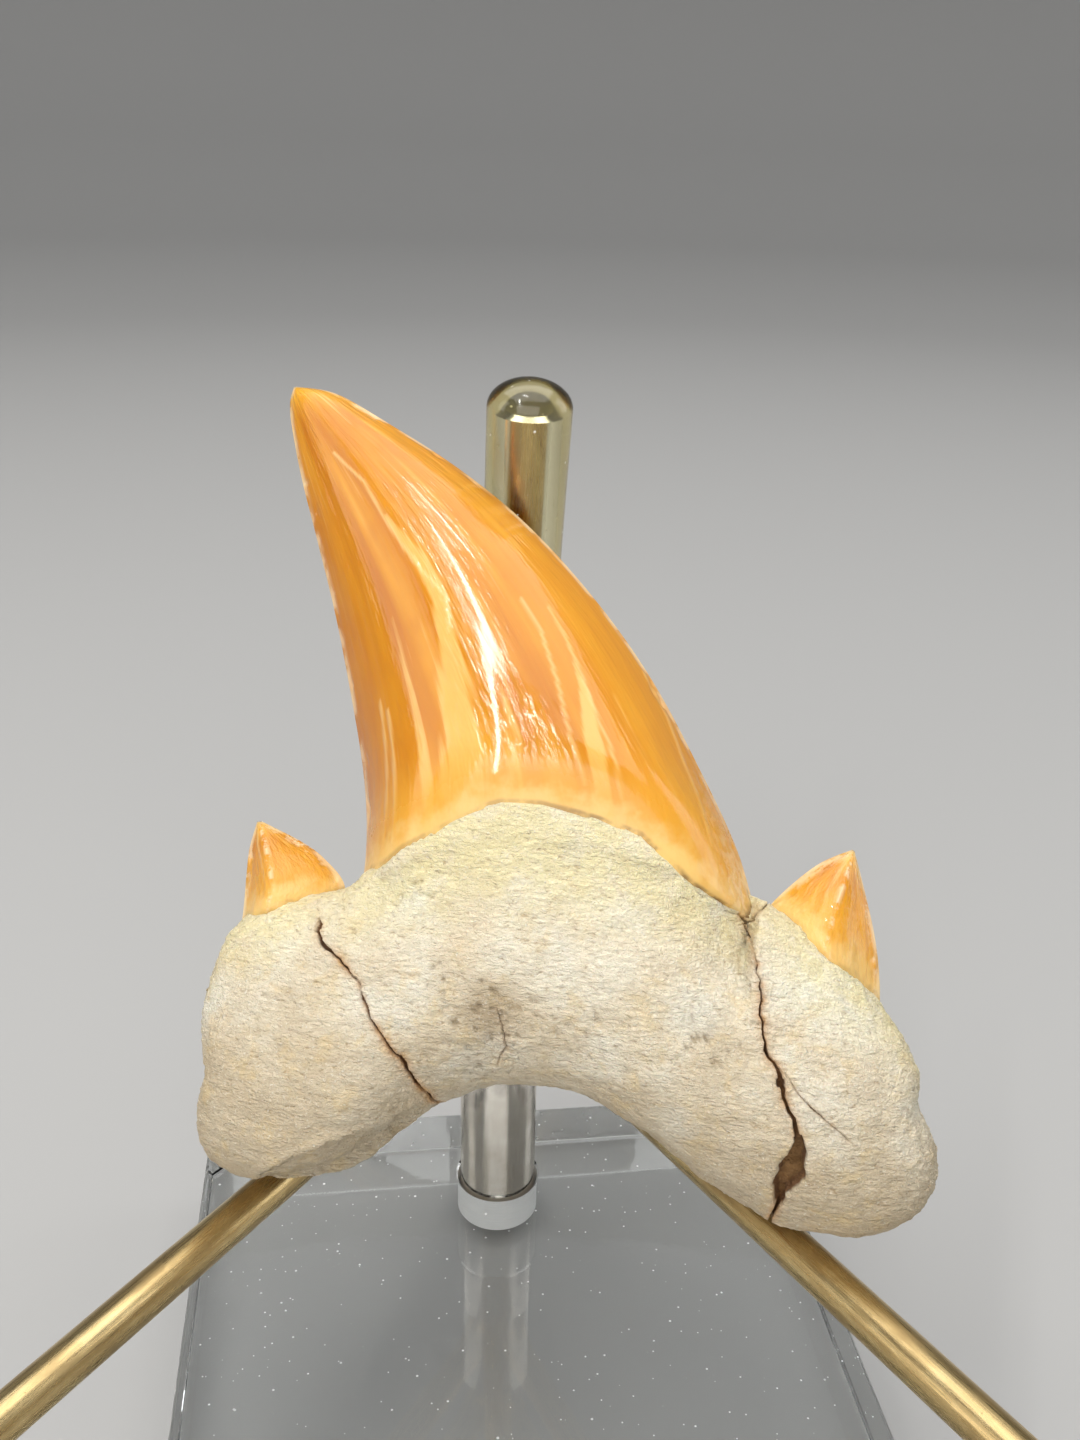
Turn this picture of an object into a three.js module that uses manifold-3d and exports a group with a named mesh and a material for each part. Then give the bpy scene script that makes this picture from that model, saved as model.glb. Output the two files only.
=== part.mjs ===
// A fossil shark tooth resting on a small display stand: a clear slab, a steel post and three brass rods.
// Millimetres, +Z up, +X to the right and the tooth facing -Y.
// The origin is the centre of the slab's underside.

import * as THREE from 'three';
import { ParametricGeometry } from 'three/addons/geometries/ParametricGeometry.js';
import { mergeVertices } from 'three/addons/utils/BufferGeometryUtils.js';
import Module from 'manifold-3d';

const wasm = await Module();
wasm.setup();

// Slab
const BASE_SIDE = 63;
const BASE_THICKNESS = 10;
const BASE_BEVEL = 0.5;
const HOLE_DEPTH = 7.8;
const HOLE_RADIUS = 4.3;

// Post
const POST_RADIUS = 4;
const POST_SETBACK = 21.5;
const POST_HEIGHT = 18;
const SOCKET_RADIUS = 3.6;
const SOCKET_DEPTH = 12;
const CHAMFER = 0.2;
const POST_SIDES = 40;
const GAP = 0.3;

// Rods, all of the same stock
const ROD_RADIUS = 1.6;
const ROD_SIDES = 16;
const ROD_SPREAD = 1.93;
const ROD_FOOT = 9;
const BEND_RADIUS = 4;
const ARM_REACH = 68;
const PRONG_HEIGHT = 19;
const BEND_STEPS = 6;
const LEFT_ARM = { socket: 210, heading: 233.1, rise: 3.1, level: 22.9 };
const RIGHT_ARM = { socket: 330, heading: 292.3, rise: 5.0, level: 24.2 };
const BACK_ROD = { socket: 90, end: new THREE.Vector3(1.75, -1.5, 82.4) };

// Vinyl caps
const CAP_LENGTH = 20;
const CAP_RADIUS = 3.65;
const CAP_MOUTH_RADIUS = 3.4;
const CAP_BORE_RADIUS = 1.9;
const CAP_END = 2.8;
const CAP_SIDES = 32;
const DOME_HEIGHT = 2.5;
const DOME_STEPS = 5;

// Place of the tooth: the middle of its root's lower edge, from the post's axis and the slab's top face
const TOOTH_PLACE = new THREE.Vector3(-2.25, -36.1, 26.8);
const TOOTH_YAW = -19;
const TOOTH_LEAN = 32;

// Root, from the left lobe round the arch to the right lobe. Each row is one cut across the root:
// lower edge x, z, upper edge x, z, depth to the front, to the back, squareness of its top, of its bottom.
const ROOT_ROWS = [
  [-26.6, 4.6, -28.2, 14.4, 0.0, 0.0, 2.2, 2.4],
  [-25.7, 2.2, -27.4, 16.9, 3.4, 2.6, 2.2, 2.6],
  [-22.8, 0.8, -25.9, 19.9, 5.6, 4.2, 2.2, 2.8],
  [-18.6, 0.7, -22.6, 22.5, 7.0, 5.0, 2.3, 3.0],
  [-14.3, 2.0, -18.6, 24.0, 7.8, 5.4, 2.4, 3.0],
  [-10.8, 4.9, -15.5, 26.3, 8.2, 5.4, 3.0, 2.6],
  [-7.4, 8.3, -12.3, 29.6, 8.7, 5.4, 5.0, 2.3],
  [-3.9, 10.0, -8.1, 32.8, 9.0, 5.3, 7.0, 2.2],
  [-0.4, 10.7, -3.3, 34.4, 9.2, 5.2, 8.0, 2.2],
  [4.4, 10.4, 1.6, 34.0, 9.2, 5.2, 8.0, 2.2],
  [8.5, 8.9, 6.2, 32.8, 9.0, 5.3, 7.0, 2.2],
  [12.6, 6.8, 10.8, 30.0, 8.7, 5.4, 5.0, 2.2],
  [16.2, 5.1, 15.3, 27.4, 8.3, 5.0, 3.0, 2.1],
  [19.3, 3.8, 18.9, 25.9, 8.0, 4.8, 2.4, 2.0],
  [22.3, 3.3, 22.5, 23.9, 7.6, 4.7, 2.3, 2.0],
  [25.5, 3.6, 25.4, 20.9, 6.6, 4.4, 2.2, 2.1],
  [28.6, 5.3, 27.7, 17.6, 5.2, 3.8, 2.2, 2.4],
  [30.2, 7.4, 29.7, 12.8, 3.0, 2.2, 2.2, 2.2],
  [30.7, 8.9, 30.5, 10.7, 0.0, 0.0, 2.2, 2.2],
];
const ROOT_BELLY = 0.1;

// Dents in the outer sides of the lobes: x, z, push along x, reach
const ROOT_DENTS = [
  [-27.6, 8.4, 1.1, 1.9],
  [29.6, 13.4, -0.7, 1.3],
];

// How full the rise of every blade's cuts is
const RISE_FULLNESS = 2.3;

// Crown, from inside the root to the tip. Each row is one cut across the blade:
// left edge x, z, right edge x, z, depth to the front, to the back, rise of the cut in its middle, fullness of the depth.
const CROWN_ROWS = [
  [-16.6, 21.8, 16.2, 24.4, 0.0, 0.0, 4.0, 5.0],
  [-16.6, 22.6, 16.1, 25.2, 7.6, 5.6, 4.4, 5.0],
  [-16.2, 24.8, 15.3, 27.0, 8.2, 5.4, 5.6, 4.8],
  [-16.5, 29.0, 13.6, 31.0, 8.4, 5.0, 5.4, 4.0],
  [-17.6, 34.0, 10.5, 36.2, 7.8, 4.3, 4.0, 3.2],
  [-19.7, 40.4, 5.5, 43.6, 6.8, 3.6, 2.4, 2.6],
  [-22.1, 47.0, 0.0, 49.9, 5.6, 3.0, 1.4, 2.4],
  [-24.6, 53.0, -6.4, 55.7, 4.4, 2.4, 0.7, 2.2],
  [-26.8, 58.2, -13.0, 60.2, 3.3, 1.9, 0.2, 2.1],
  [-28.4, 62.6, -20.2, 64.0, 2.1, 1.3, 0.0, 2.0],
  [-29.0, 65.0, -25.0, 66.2, 1.2, 0.8, 0.0, 2.0],
  [-28.9, 66.5, -28.7, 66.6, 0.0, 0.0, 0.0, 2.0],
];

// Cusplets, in the same columns as the crown
const LEFT_CUSPLET_ROWS = [
  [-25.6, 18.2, -17.6, 20.4, 0.0, 0.0, 0.8, 1.7],
  [-25.9, 19.2, -17.4, 21.6, 3.6, 3.0, 0.9, 1.7],
  [-26.0, 21.4, -17.7, 24.3, 3.3, 2.6, 0.7, 1.6],
  [-26.2, 24.0, -19.6, 26.1, 2.5, 1.8, 0.4, 1.5],
  [-26.3, 26.2, -21.8, 27.3, 1.5, 1.1, 0.1, 1.5],
  [-26.0, 28.5, -25.6, 28.6, 0.0, 0.0, 0.0, 1.5],
];
const RIGHT_CUSPLET_ROWS = [
  [16.6, 23.0, 25.2, 17.4, 0.0, 0.0, 1.8, 1.7],
  [16.2, 24.2, 25.6, 18.4, 3.8, 3.0, 2.0, 1.7],
  [16.3, 26.3, 25.5, 21.4, 3.6, 2.6, 1.6, 1.6],
  [17.7, 28.3, 24.9, 24.9, 2.7, 1.9, 0.8, 1.5],
  [20.0, 30.6, 23.9, 28.2, 1.6, 1.1, 0.3, 1.5],
  [22.4, 32.0, 22.6, 31.9, 0.0, 0.0, 0.0, 1.5],
];

// Cracks across the front of the root: x, z and half the width at each point of a crack's path
const CRACKS = [
  [[-17.4, 21.8, 0.5], [-17.2, 20.1, 0.5], [-14.6, 18.4, 0.25], [-12.6, 16.6, 0.25], [-10.9, 14.0, 0.3],
    [-8.4, 11.4, 0.35], [-7.2, 8.9, 0.3]],
  [[14.9, 25.4, 0.25], [16.7, 20.6, 0.25], [17.4, 16.9, 0.25], [18.9, 14.0, 0.3], [20.2, 11.2, 0.5],
    [20.0, 8.0, 1.0], [19.4, 5.4, 0.7], [19.3, 4.4, 0.5]],
];
const CRACK_DEPTH = 1.1;

// Steps of the tooth's skins, around and along
const ROOT_STEPS = [26, 44];
const CROWN_STEPS = [28, 26];
const CUSPLET_STEPS = [16, 8];
const SEARCH_STEPS = [100, 200];

const radians = THREE.MathUtils.degToRad;

function look(color, roughness, metalness) {
  return new THREE.MeshStandardMaterial({ color, roughness, metalness });
}

const ENAMEL = look(0xe9a03f, 0.3, 0);
const CLEAR = look(0xdfe6e8, 0.05, 0);
const STEEL = look(0xb8b4ae, 0.2, 1);
const BRASS = look(0xc0a05c, 0.35, 1);
const VINYL = look(0xc9c9a0, 0.15, 0);

// A closed solid from a three.js geometry: equal vertices joined, collapsed triangles left out
function solid(geometry) {
  const bare = geometry.clone();
  bare.deleteAttribute('normal');
  bare.deleteAttribute('uv');
  const merged = mergeVertices(bare, 1e-4);
  const index = merged.index.array;
  const kept = [];
  for (let i = 0; i < index.length; i += 3) {
    const [a, b, c] = [index[i], index[i + 1], index[i + 2]];
    if (a !== b && b !== c && c !== a) {
      kept.push(a, b, c);
    }
  }
  const vertProperties = merged.attributes.position.array;
  return new wasm.Manifold(new wasm.Mesh({ numProp: 3, vertProperties, triVerts: new Uint32Array(kept) }));
}

function geometryOf(body) {
  const { vertProperties, triVerts } = body.getMesh();
  const geometry = new THREE.BufferGeometry();
  geometry.setAttribute('position', new THREE.BufferAttribute(vertProperties, 3));
  geometry.setIndex(new THREE.BufferAttribute(triVerts, 1));
  geometry.computeVertexNormals();
  return geometry;
}

// A smooth curve through two columns of a table of rows
function column(rows, first, second) {
  return new THREE.SplineCurve(rows.map((row) => new THREE.Vector2(row[first], row[second])));
}

function superellipse(part, squareness) {
  return Math.abs(part) < 1e-9 ? 0 : Math.sign(part) * Math.abs(part) ** (2 / squareness);
}

// The root's skin: v runs along the rows, u around each cut from its top, over the front, back to its top
function rootSkin() {
  const lower = column(ROOT_ROWS, 0, 1);
  const upper = column(ROOT_ROWS, 2, 3);
  const depths = column(ROOT_ROWS, 4, 5);
  const squareness = column(ROOT_ROWS, 6, 7);
  return (u, v, target) => {
    const angle = 2 * Math.PI * u;
    const low = lower.getPoint(v);
    const high = upper.getPoint(v);
    const corners = squareness.getPoint(v);
    const power = Math.cos(angle) > 0 ? corners.x : corners.y;
    const up = superellipse(Math.cos(angle), power);
    const out = superellipse(Math.sin(angle), power);
    const { x: front, y: back } = depths.getPoint(v);
    const reach = out > 0 ? -front * (1 - ROOT_BELLY * up) : back;
    const share = (1 + up) / 2;
    const x = low.x + (high.x - low.x) * share;
    const z = low.y + (high.y - low.y) * share;
    let push = 0;
    for (const [dentX, dentZ, depth, size] of ROOT_DENTS) {
      push += depth * Math.exp(-((x - dentX) ** 2 + (z - dentZ) ** 2) / size ** 2);
    }
    target.set(x + push, reach * Math.abs(out), z);
  };
}

// The skin of a blade with two sharp edges, for the crown and the cusplets
function bladeSkin(rows) {
  const left = column(rows, 0, 1);
  const right = column(rows, 2, 3);
  const depth = column(rows, 4, 5);
  const shape = column(rows, 6, 7);
  return (u, v, target) => {
    const angle = 2 * Math.PI * u;
    const across = Math.cos(angle);
    const a = left.getPoint(v);
    const b = right.getPoint(v);
    const share = (1 - across) / 2;
    const { x: rise, y: fullness } = shape.getPoint(v);
    const swell = 1 - Math.abs(across) ** fullness;
    const reach = Math.sin(angle) > 0 ? -depth.getPoint(v).x : depth.getPoint(v).y;
    const z = a.y + (b.y - a.y) * share + rise * (1 - Math.abs(across) ** RISE_FULLNESS);
    target.set(a.x + (b.x - a.x) * share, reach * swell, z);
  };
}

// Depth of the root's front face at a place x, z, found on a grid over its skin
function rootFront(skin, x, z) {
  const [around, along] = SEARCH_STEPS;
  const point = new THREE.Vector3();
  let best = Infinity;
  let y = 0;
  for (let j = 0; j <= along; j += 1) {
    for (let i = 0; i <= around / 2; i += 1) {
      skin(i / around, j / along, point);
      const miss = (point.x - x) ** 2 + (point.z - z) ** 2;
      if (miss < best) {
        best = miss;
        y = point.y;
      }
    }
  }
  return y;
}

// A wedge that follows a crack's path, pointed inside the root. The root's skin cuts it halfway in,
// where it is half as wide as in front.
function crackWedge(skin, path) {
  const middle = path.map(([x, z]) => new THREE.Vector3(x, rootFront(skin, x, z), z));
  const last = path.length - 1;
  const corner = (k, turn) => {
    if (k === 0 || k === last) {
      return middle[k];
    }
    const along = middle[k + 1].clone().sub(middle[k - 1]).setY(0).normalize();
    const side = new THREE.Vector3(-along.z, 0, along.x).multiplyScalar(2 * path[k][2]);
    const inward = new THREE.Vector3(0, CRACK_DEPTH, 0);
    const corners = [
      middle[k].clone().sub(inward).add(side),
      middle[k].clone().sub(inward).sub(side),
      middle[k].clone().add(inward),
    ];
    return corners[turn % 3];
  };
  return new ParametricGeometry((u, v, target) => {
    target.copy(corner(Math.round(v * last), Math.round(u * 3)));
  }, 3, last);
}

function makeTooth() {
  const skin = rootSkin();
  let body = solid(new ParametricGeometry(skin, ...ROOT_STEPS));
  body = body.add(solid(new ParametricGeometry(bladeSkin(CROWN_ROWS), ...CROWN_STEPS)));
  for (const rows of [LEFT_CUSPLET_ROWS, RIGHT_CUSPLET_ROWS]) {
    body = body.add(solid(new ParametricGeometry(bladeSkin(rows), ...CUSPLET_STEPS)));
  }
  for (const path of CRACKS) {
    body = body.subtract(solid(crackWedge(skin, path)));
  }
  const mesh = new THREE.Mesh(geometryOf(body), ENAMEL);
  mesh.name = 'tooth';
  mesh.rotation.set(radians(-TOOTH_LEAN), 0, radians(TOOTH_YAW), 'ZXY');
  mesh.position.copy(TOOTH_PLACE);
  return mesh;
}

function makeBase() {
  const half = BASE_SIDE / 2 - BASE_BEVEL;
  const outline = new THREE.Shape();
  outline.moveTo(-half, -half);
  outline.lineTo(half, -half);
  outline.lineTo(half, half);
  outline.lineTo(-half, half);
  outline.closePath();
  const slab = new THREE.ExtrudeGeometry(outline, {
    depth: BASE_THICKNESS - 2 * BASE_BEVEL,
    bevelThickness: BASE_BEVEL,
    bevelSize: BASE_BEVEL,
    bevelSegments: 1,
  });
  slab.translate(0, 0, BASE_BEVEL);
  const drill = new THREE.CylinderGeometry(HOLE_RADIUS, HOLE_RADIUS, 2 * HOLE_DEPTH, POST_SIDES);
  drill.rotateX(Math.PI / 2);
  drill.translate(0, POST_SETBACK, BASE_THICKNESS);
  const mesh = new THREE.Mesh(geometryOf(solid(slab).subtract(solid(drill))), CLEAR);
  mesh.name = 'base';
  return mesh;
}

// A solid turned about +Z, from a profile of radius and height pairs that starts and ends on the axis
function turned(profile, segments) {
  const geometry = new THREE.LatheGeometry(profile.map(([r, z]) => new THREE.Vector2(r, z)), segments);
  geometry.rotateX(Math.PI / 2);
  return geometryOf(solid(geometry));
}

function makePost() {
  const foot = GAP - HOLE_DEPTH;
  const mesh = new THREE.Mesh(turned([
    [0, foot],
    [POST_RADIUS, foot],
    [POST_RADIUS, POST_HEIGHT - CHAMFER],
    [POST_RADIUS - CHAMFER, POST_HEIGHT],
    [SOCKET_RADIUS, POST_HEIGHT],
    [SOCKET_RADIUS, POST_HEIGHT - SOCKET_DEPTH],
    [0, POST_HEIGHT - SOCKET_DEPTH],
  ], POST_SIDES), STEEL);
  mesh.name = 'post';
  return mesh;
}

// A round rod through a list of points, with one step from each point to the next
function makeRod(name, points) {
  const path = new THREE.CatmullRomCurve3(points);
  path.getUtoTmapping = (share) => share;
  const section = new THREE.Shape();
  section.absarc(0, 0, ROD_RADIUS, 0, 2 * Math.PI);
  const geometry = new THREE.ExtrudeGeometry(section, {
    extrudePath: path,
    steps: points.length - 1,
    curveSegments: ROD_SIDES,
  });
  const mesh = new THREE.Mesh(geometryOf(solid(geometry)), BRASS);
  mesh.name = name;
  return mesh;
}

function socketPlace(angle, z) {
  return new THREE.Vector3(ROD_SPREAD * Math.cos(radians(angle)), ROD_SPREAD * Math.sin(radians(angle)), z);
}

// Points of an arm: up out of the socket, a bend, the long reach, and a prong turned up at its end
function armPoints({ socket, heading, rise, level }) {
  const out = new THREE.Vector3(Math.cos(radians(heading)), Math.sin(radians(heading)), 0);
  const toward = (angle) => out.clone().multiplyScalar(Math.sin(angle)).setZ(Math.cos(angle));
  const steepest = radians(90 - rise);
  const points = [socketPlace(socket, ROD_FOOT)];
  const go = (angle, length) => {
    points.push(points.at(-1).clone().addScaledVector(toward(angle), length));
  };
  const bend = (from, to) => {
    const chord = 2 * BEND_RADIUS * Math.sin(steepest / BEND_STEPS / 2);
    for (let k = 0; k < BEND_STEPS; k += 1) {
      go(from + ((to - from) * (k + 0.5)) / BEND_STEPS, chord);
    }
  };
  go(0, level - BEND_RADIUS - ROD_FOOT);
  bend(0, steepest);
  go(steepest, ARM_REACH / 2);
  go(steepest, ARM_REACH / 2);
  bend(steepest, 0);
  go(0, PRONG_HEIGHT);
  return points;
}

// A cap pushed over the end of a rod, closed and domed at its far end
function makeCap(name, rodEnd, direction) {
  const end = GAP + CAP_END;
  const dome = [];
  for (let k = 0; k <= DOME_STEPS; k += 1) {
    const angle = (k / DOME_STEPS) * (Math.PI / 2);
    dome.push([CAP_RADIUS * Math.cos(angle), end - DOME_HEIGHT + DOME_HEIGHT * Math.sin(angle)]);
  }
  const mesh = new THREE.Mesh(turned([
    [0, GAP],
    [CAP_BORE_RADIUS, GAP],
    [CAP_BORE_RADIUS, end - CAP_LENGTH],
    [CAP_MOUTH_RADIUS, end - CAP_LENGTH],
    ...dome.slice(0, -1),
    [0, end],
  ], CAP_SIDES), VINYL);
  mesh.name = name;
  mesh.position.copy(rodEnd);
  mesh.quaternion.setFromUnitVectors(new THREE.Vector3(0, 0, 1), direction);
  return mesh;
}

function makeArm(name, arm) {
  const points = armPoints(arm);
  const up = new THREE.Vector3(0, 0, 1);
  return [makeRod(`${name}_arm`, points), makeCap(`${name}_cap`, points.at(-1), up)];
}

// The rod behind the tooth leans a little forward and to the right on its way up
function makeBackRod() {
  const knee = socketPlace(BACK_ROD.socket, POST_HEIGHT);
  const direction = BACK_ROD.end.clone().sub(knee).normalize();
  const middle = knee.clone().lerp(BACK_ROD.end, 0.5);
  const points = [socketPlace(BACK_ROD.socket, ROD_FOOT), knee, middle, BACK_ROD.end];
  return [makeRod('back_rod', points), makeCap('back_cap', BACK_ROD.end, direction)];
}

const stand = new THREE.Group();
stand.position.set(0, POST_SETBACK, BASE_THICKNESS);
stand.add(
  makePost(),
  ...makeArm('left', LEFT_ARM),
  ...makeArm('right', RIGHT_ARM),
  ...makeBackRod(),
  makeTooth(),
);

const group = new THREE.Group();
group.add(makeBase(), stand);

export default group;
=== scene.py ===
# A fossil shark tooth on a small display stand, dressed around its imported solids.
import math

import bmesh
import bpy
import numpy as np
from mathutils import Matrix, Vector, noise
from mathutils.bvhtree import BVHTree


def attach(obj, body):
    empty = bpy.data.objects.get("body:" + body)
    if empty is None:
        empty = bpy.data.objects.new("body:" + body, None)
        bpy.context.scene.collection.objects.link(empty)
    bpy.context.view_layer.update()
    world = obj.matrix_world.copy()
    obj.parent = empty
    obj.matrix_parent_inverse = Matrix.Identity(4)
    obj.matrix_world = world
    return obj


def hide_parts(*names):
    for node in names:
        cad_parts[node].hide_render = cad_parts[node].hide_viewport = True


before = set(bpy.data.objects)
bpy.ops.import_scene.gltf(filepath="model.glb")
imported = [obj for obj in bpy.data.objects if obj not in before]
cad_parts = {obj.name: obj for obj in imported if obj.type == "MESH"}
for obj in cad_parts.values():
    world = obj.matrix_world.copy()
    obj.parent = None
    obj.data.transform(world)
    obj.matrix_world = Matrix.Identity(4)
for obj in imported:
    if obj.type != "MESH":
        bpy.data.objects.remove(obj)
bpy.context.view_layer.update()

MM = 0.001

# Places and sizes of the solids, in millimetres
BASE_HALF = 31.5
BASE_THICKNESS = 10.0
HOLE_RADIUS = 4.3
HOLE_DEPTH = 7.8
POST_RADIUS = 4.0
POST_SETBACK = 21.5
POST_HEIGHT = 18.0
SOCKET_RADIUS = 3.6
SOCKET_DEPTH = 12.0
GAP = 0.3
ROD_RADIUS = 1.6
ROD_SPREAD = 1.93
ROD_FOOT = 9.0
BEND_RADIUS = 4.0
ARM_REACH = 68.0
REACH_STEPS = 8
BEND_STEPS = 14
PRONG_HEIGHT = 19.0
LEFT_ARM = {"socket": 210, "heading": 233.1, "rise": 3.1, "level": 22.9}
RIGHT_ARM = {"socket": 330, "heading": 292.3, "rise": 5.0, "level": 24.2}
BACK_SOCKET = 90
BACK_END = (1.75, -1.5, 82.4)
CAP_LENGTH = 20.0
CAP_RADIUS = 3.65
CAP_MOUTH_RADIUS = 3.4
CAP_BORE_RADIUS = 1.9
CAP_END = 2.8
DOME_HEIGHT = 2.5
DOME_STEPS = 17
TOOTH_PLACE = (-2.25, -36.1, 26.8)
TOOTH_YAW = -19
TOOTH_LEAN = 32

# Root rows: lower edge x, z, upper edge x, z, depth to the front, to the back, squareness of top, of bottom
ROOT_ROWS = [
    [-26.6, 4.6, -28.2, 14.4, 0.0, 0.0, 2.2, 2.4],
    [-25.7, 2.2, -27.4, 16.9, 3.4, 2.6, 2.2, 2.6],
    [-22.8, 0.8, -25.9, 19.9, 5.6, 4.2, 2.2, 2.8],
    [-18.6, 0.7, -22.6, 22.5, 7.0, 5.0, 2.3, 3.0],
    [-14.3, 2.0, -18.6, 23.6, 7.8, 5.4, 2.4, 3.0],
    [-10.8, 4.9, -15.5, 25.0, 8.2, 5.4, 3.0, 2.6],
    [-7.4, 8.3, -12.3, 28.4, 8.7, 5.4, 5.0, 2.3],
    [-3.9, 10.0, -8.1, 32.8, 9.0, 5.3, 7.0, 2.2],
    [-0.4, 10.7, -3.3, 34.4, 9.2, 5.2, 8.0, 2.2],
    [4.4, 10.4, 1.6, 34.0, 9.2, 5.2, 8.0, 2.2],
    [8.5, 8.9, 6.2, 32.8, 9.0, 5.3, 7.0, 2.2],
    [12.6, 6.8, 10.8, 30.0, 8.7, 5.4, 5.0, 2.2],
    [16.2, 5.1, 15.3, 27.4, 8.3, 5.0, 3.0, 2.1],
    [19.3, 3.8, 18.9, 25.9, 8.0, 4.8, 2.4, 2.0],
    [22.3, 3.3, 22.5, 23.9, 7.6, 4.7, 2.3, 2.0],
    [25.5, 3.6, 25.4, 20.9, 6.6, 4.4, 2.2, 2.1],
    [28.6, 5.3, 27.7, 17.6, 5.2, 3.8, 2.2, 2.4],
    [30.2, 7.4, 29.7, 12.8, 3.0, 2.2, 2.2, 2.2],
    [30.7, 8.9, 30.5, 10.7, 0.0, 0.0, 2.2, 2.2],
]
ROOT_BELLY = 0.1
RISE_FULLNESS = 2.3
ROOT_DENTS = [
    [-27.6, 8.4, 1.1, 1.9],
    [29.6, 13.4, -0.7, 1.3],
]

# Blade rows: left edge x, z, right edge x, z, depth to the front, to the back, rise of the middle, fullness
CROWN_ROWS = [
    [-16.6, 21.8, 16.2, 24.4, 0.0, 0.0, 4.0, 5.0],
    [-16.6, 22.6, 16.1, 25.2, 7.6, 5.6, 4.4, 5.0],
    [-16.2, 24.8, 15.3, 27.0, 8.2, 5.4, 5.6, 4.8],
    [-16.5, 29.0, 13.6, 31.0, 8.4, 5.0, 5.4, 4.0],
    [-17.6, 34.0, 10.5, 36.2, 7.8, 4.3, 4.0, 3.2],
    [-19.7, 40.4, 5.5, 43.6, 6.8, 3.6, 2.4, 2.6],
    [-22.1, 47.0, 0.0, 49.9, 5.6, 3.0, 1.4, 2.4],
    [-24.6, 53.0, -6.4, 55.7, 4.4, 2.4, 0.7, 2.2],
    [-26.8, 58.2, -13.0, 60.2, 3.3, 1.9, 0.2, 2.1],
    [-28.4, 62.6, -20.2, 64.0, 2.1, 1.3, 0.0, 2.0],
    [-29.0, 65.0, -25.0, 66.2, 1.2, 0.8, 0.0, 2.0],
    [-28.9, 66.5, -28.7, 66.6, 0.0, 0.0, 0.0, 2.0],
]
LEFT_CUSPLET_ROWS = [
    [-25.6, 18.2, -17.6, 20.4, 0.0, 0.0, 0.8, 1.25],
    [-25.9, 19.2, -17.4, 21.6, 3.6, 3.0, 0.9, 1.45],
    [-26.0, 21.4, -17.7, 24.3, 3.3, 2.6, 0.7, 1.35],
    [-26.2, 24.0, -19.6, 26.1, 2.5, 1.8, 0.4, 1.25],
    [-26.3, 26.2, -21.8, 27.3, 1.5, 1.1, 0.1, 1.2],
    [-26.0, 28.5, -25.6, 28.6, 0.0, 0.0, 0.0, 1.5],
]
RIGHT_CUSPLET_ROWS = [
    [16.6, 23.0, 25.2, 17.4, 0.0, 0.0, 1.8, 1.5],
    [16.2, 24.2, 25.6, 18.4, 3.8, 3.0, 2.0, 1.45],
    [16.3, 26.3, 25.5, 21.4, 3.6, 2.6, 1.6, 1.35],
    [17.7, 28.3, 24.9, 24.9, 2.7, 1.9, 0.8, 1.25],
    [20.0, 30.6, 23.9, 28.2, 1.6, 1.1, 0.3, 1.2],
    [22.4, 32.0, 22.6, 31.9, 0.0, 0.0, 0.0, 1.5],
]

# Line where the crown's enamel meets the root on the front: x, z
NECK = [
    [-16.6, 23.2], [-14.5, 24.3], [-13.2, 26.0], [-11.4, 27.6], [-9.0, 29.0], [-6.6, 30.6], [-4.1, 31.9],
    [-0.9, 32.1], [1.4, 31.8], [3.7, 31.4], [6.7, 30.7], [8.3, 29.6], [9.6, 28.6], [10.8, 27.6],
    [12.3, 26.8], [13.5, 26.2], [15.0, 26.0], [16.6, 25.6],
]

# How far below that line the root begins to lean in to the crown, and where along x the two meet
NECK_LEAN = 9.0
NECK_RANGE = (-16.2, 15.2)
FAR_IN_FRONT = -30

# Cracks through the root: x, z, half width, depth
LEFT_CRACK = [
    [-17.7, 21.4, 0.2, 0.4], [-17.4, 21.0, 0.36, 0.6], [-17.1, 20.1, 0.3, 0.8], [-14.6, 18.4, 0.13, 0.6],
    [-12.8, 17.0, 0.13, 0.6], [-12.5, 16.1, 0.24, 0.8], [-10.9, 14.0, 0.16, 0.7], [-9.8, 12.8, 0.2, 0.8],
    [-8.6, 11.7, 0.27, 0.9], [-7.2, 9.3, 0.16, 0.8], [-6.6, 7.6, 0.12, 0.7],
]
RIGHT_CRACK = [
    [14.2, 26.6, 0.12, 0.5], [14.9, 25.4, 0.2, 0.7], [15.9, 23.2, 0.13, 0.6], [16.7, 20.6, 0.16, 0.7],
    [17.1, 18.0, 0.16, 0.7], [17.7, 16.1, 0.2, 0.8], [18.6, 15.0, 0.34, 0.9], [19.0, 13.5, 0.24, 0.9],
    [19.9, 12.1, 0.24, 0.9], [20.4, 10.6, 0.4, 1.2], [20.3, 9.3, 0.75, 1.6], [20.0, 7.9, 1.0, 1.6],
    [19.4, 6.6, 0.5, 1.2], [19.3, 5.2, 0.24, 1.0], [19.0, 3.0, 0.15, 0.8],
]
MIDDLE_CRACK = [
    [-2.1, 16.7, 0.07, 0.2], [-1.7, 15.6, 0.1, 0.35], [-1.3, 13.9, 0.1, 0.35], [-2.0, 12.6, 0.08, 0.25],
]
FINE_CRACK = [
    [18.9, 15.2, 0.07, 0.2], [20.2, 13.7, 0.09, 0.3], [21.4, 12.8, 0.12, 0.35], [22.6, 12.0, 0.1, 0.3],
    [24.2, 10.9, 0.06, 0.15],
]
SHORT_CRACK = [[15.0, 25.3, 0.1, 0.4], [15.8, 26.0, 0.14, 0.5], [16.4, 26.9, 0.1, 0.4]]

# Steps of the root's mesh, and how near to a crack each face is cut again
ROOT_GRID = (150, 300)
ROOT_SAMPLES = 720
CRACK_MARGIN = 0.8
CRACK_CUTS = 3
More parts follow.
